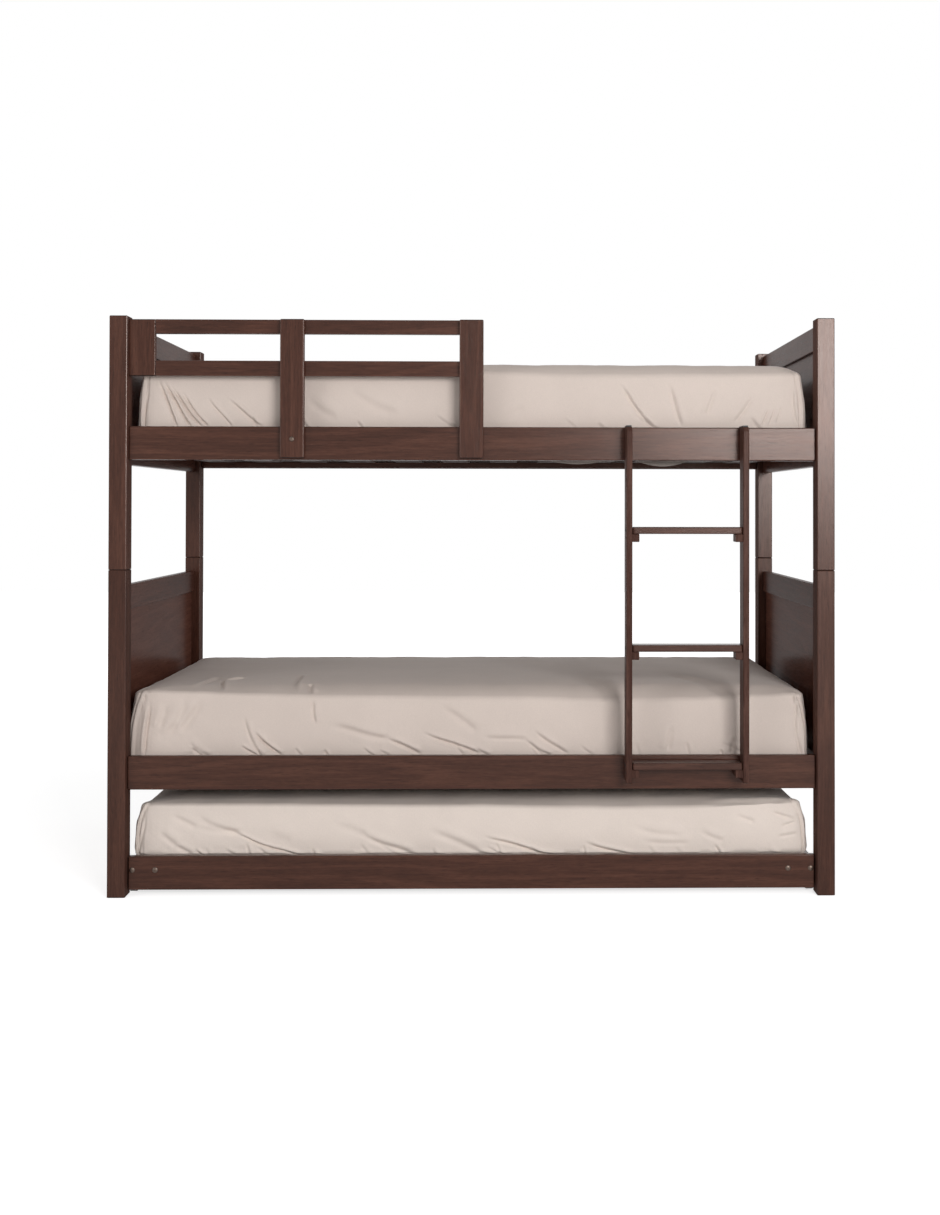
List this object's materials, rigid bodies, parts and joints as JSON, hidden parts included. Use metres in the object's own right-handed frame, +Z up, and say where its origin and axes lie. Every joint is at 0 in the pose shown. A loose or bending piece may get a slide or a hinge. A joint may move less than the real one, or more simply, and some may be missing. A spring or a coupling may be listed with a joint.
{
  "type": "bunk bed with trundle and ladder",
  "caption": "Wooden bunk bed with panelled ends, a guard rail, a hook-on ladder and a low trundle bed that rolls out from under the lower bunk, each bed with a mattress in a fitted sheet.",
  "frame": {"origin": "on the floor, in the middle of the footprint that the bed and the ladder take together", "axes": "+X along the bed to the ladder's end, +Y from the ladder side to the back, +Z up"},
  "size_m": [2.03, 1.1052, 1.62],
  "materials": {
    "walnut_post": "dark walnut stain, satin lacquer",
    "walnut_rail": "dark walnut stain, satin lacquer, grain along the board",
    "walnut_panel": "dark walnut stain on thin veneered board, satin",
    "walnut_slat": "dark walnut stain, unlacquered",
    "steel": "dark bronze plating, satin",
    "black_steel": "black powder coat",
    "wheel_nylon": "matt moulded nylon",
    "mattress_ticking": "woven cotton ticking",
    "beige_cotton": "beige jersey cotton",
    "cream_cotton": "cream jersey cotton"
  },
  "bodies": {
    "root": {"lower_post_front_left": "walnut_post", "lower_post_front_right": "walnut_post", "lower_post_back_left": "walnut_post", "lower_post_back_right": "walnut_post", "upper_post_front_left": "walnut_post", "upper_post_front_right": "walnut_post", "upper_post_back_left": "walnut_post", "upper_post_back_right": "walnut_post", "lower_end_top_rail_left": "walnut_rail", "lower_end_top_rail_right": "walnut_rail", "lower_end_bottom_rail_left": "walnut_rail", "lower_end_bottom_rail_right": "walnut_rail", "upper_end_top_rail_left": "walnut_rail", "upper_end_top_rail_right": "walnut_rail", "upper_end_bottom_rail_left": "walnut_rail", "upper_end_bottom_rail_right": "walnut_rail", "lower_end_panel_left": "walnut_panel", "lower_end_panel_right": "walnut_panel", "upper_end_panel_left": "walnut_panel", "upper_end_panel_right": "walnut_panel", "lower_side_rail_front": "walnut_rail", "lower_side_rail_back": "walnut_rail", "upper_side_rail_front": "walnut_rail", "upper_side_rail_back": "walnut_rail", "lower_slats": "walnut_slat", "upper_slats": "walnut_slat", "lower_mattress": "mattress_ticking", "upper_mattress": "mattress_ticking", "lower_fitted_sheet": "beige_cotton", "upper_fitted_sheet": "beige_cotton", "guard_left_stile": "walnut_rail", "guard_top_rail": "walnut_rail", "guard_lower_rail": "walnut_rail", "guard_middle_post": "walnut_post", "guard_right_post": "walnut_post", "guard_bolt": "steel"},
    "ladder": {"ladder_stile_left": "walnut_post", "ladder_stile_right": "walnut_post", "ladder_rung_top": "walnut_rail", "ladder_rung_middle": "walnut_rail", "ladder_rung_bottom": "walnut_rail", "ladder_hook_left": "black_steel", "ladder_hook_right": "black_steel"},
    "trundle": {"trundle_front_board": "walnut_rail", "trundle_back_board": "walnut_rail", "trundle_end_left": "walnut_rail", "trundle_end_right": "walnut_rail", "trundle_slats": "walnut_slat", "trundle_mattress": "mattress_ticking", "trundle_fitted_sheet": "cream_cotton", "trundle_axle_front_left": "steel", "trundle_axle_front_right": "steel", "trundle_axle_back_left": "steel", "trundle_axle_back_right": "steel"},
    "trundle_wheel_front_left": {"trundle_wheel_front_left": "wheel_nylon"},
    "trundle_wheel_front_right": {"trundle_wheel_front_right": "wheel_nylon"},
    "trundle_wheel_back_left": {"trundle_wheel_back_left": "wheel_nylon"},
    "trundle_wheel_back_right": {"trundle_wheel_back_right": "wheel_nylon"}
  },
  "joints": [
    {"name": "trundle_slide", "type": "slide", "parent": "root", "child": "trundle", "axis": [0, -1, 0], "range_m": [0, 1]},
    {"name": "ladder_slide", "type": "slide", "parent": "root", "child": "ladder", "axis": [1, 0, 0], "range_m": [-0.38, 0.18]},
    {"name": "trundle_wheel_front_left_spin", "type": "hinge", "parent": "trundle", "child": "trundle_wheel_front_left", "pos_m": [-0.9294, -0.32335, 0.02], "axis": [1, 0, 0], "range_deg": [0, 2880]},
    {"name": "trundle_wheel_front_right_spin", "type": "hinge", "parent": "trundle", "child": "trundle_wheel_front_right", "pos_m": [0.9294, -0.32335, 0.02], "axis": [1, 0, 0], "range_deg": [0, 2880]},
    {"name": "trundle_wheel_back_left_spin", "type": "hinge", "parent": "trundle", "child": "trundle_wheel_back_left", "pos_m": [-0.9294, 0.37265, 0.02], "axis": [1, 0, 0], "range_deg": [0, 2880]},
    {"name": "trundle_wheel_back_right_spin", "type": "hinge", "parent": "trundle", "child": "trundle_wheel_back_right", "pos_m": [0.9294, 0.37265, 0.02], "axis": [1, 0, 0], "range_deg": [0, 2880]}
  ],
  "couplings": [
    {"joint": "trundle_wheel_front_left_spin", "follows": "trundle_slide", "rad_per_m": 50},
    {"joint": "trundle_wheel_front_right_spin", "follows": "trundle_slide", "rad_per_m": 50},
    {"joint": "trundle_wheel_back_left_spin", "follows": "trundle_slide", "rad_per_m": 50},
    {"joint": "trundle_wheel_back_right_spin", "follows": "trundle_slide", "rad_per_m": 50}
  ]
}
